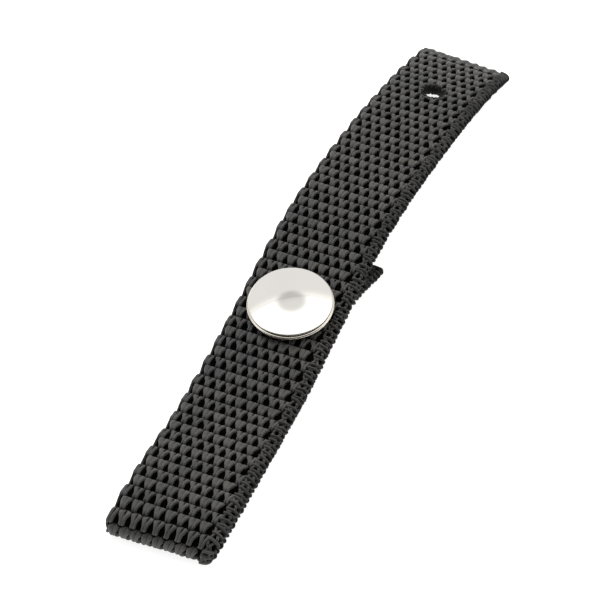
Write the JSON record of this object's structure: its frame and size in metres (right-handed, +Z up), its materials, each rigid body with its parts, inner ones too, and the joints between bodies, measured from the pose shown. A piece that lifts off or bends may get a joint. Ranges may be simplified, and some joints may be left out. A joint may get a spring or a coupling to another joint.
{
  "type": "webbing strap with snap fastener",
  "caption": "Short strap of heavy black woven webbing, folded back under itself into a loop that a domed metal snap fastener closes, with a single punched tail.",
  "frame": {"origin": "middle of the strap's box, on the surface that it lies on", "axes": "+Y along the strap from the fold to the tail, +X across it, +Z up"},
  "size_m": [0.0236, 0.1354, 0.0108],
  "materials": {
    "webbing": "coarse woven synthetic webbing, charcoal black, satin",
    "fused_edge": "webbing fibre melted smooth at the cuts",
    "polished_cap": "bright polished nickel plate",
    "snap_hardware": "nickel plate, less polished than the cap",
    "spring_wire": "drawn spring wire"
  },
  "bodies": {
    "lower_leg": {"webbing_leg": "webbing", "webbing_fold_lower": "webbing", "leg_end_seal": "fused_edge", "snap_stud": "snap_hardware", "stud_eyelet": "snap_hardware"},
    "upper_run": {"webbing_run": "webbing", "webbing_fold_upper": "webbing", "snap_cap": "polished_cap", "cap_post": "snap_hardware", "snap_socket": "snap_hardware", "socket_spring": "spring_wire"},
    "tail_inner": {"webbing_tail_inner": "webbing"},
    "tail_outer": {"webbing_tail_outer": "webbing", "hole_rim_seal": "fused_edge", "tail_end_seal": "fused_edge"}
  },
  "joints": [
    {"name": "loop_opening", "type": "hinge", "parent": "lower_leg", "child": "upper_run", "pos_m": [0, -0.06767, 0.00329], "axis": [1, 0, 0], "range_deg": [0, 170], "deforming": ["socket_spring"]},
    {"name": "tail_bend_inner", "type": "hinge", "parent": "upper_run", "child": "tail_inner", "pos_m": [0, 0.01328, 0.00915], "axis": [1, 0, 0], "range_deg": [-70, 75], "stiffness_Nm_per_rad": 0.02},
    {"name": "tail_bend_outer", "type": "hinge", "parent": "tail_inner", "child": "tail_outer", "pos_m": [0, 0.04021, 0.00738], "axis": [1, 0, 0], "range_deg": [-75, 75], "stiffness_Nm_per_rad": 0.02}
  ]
}
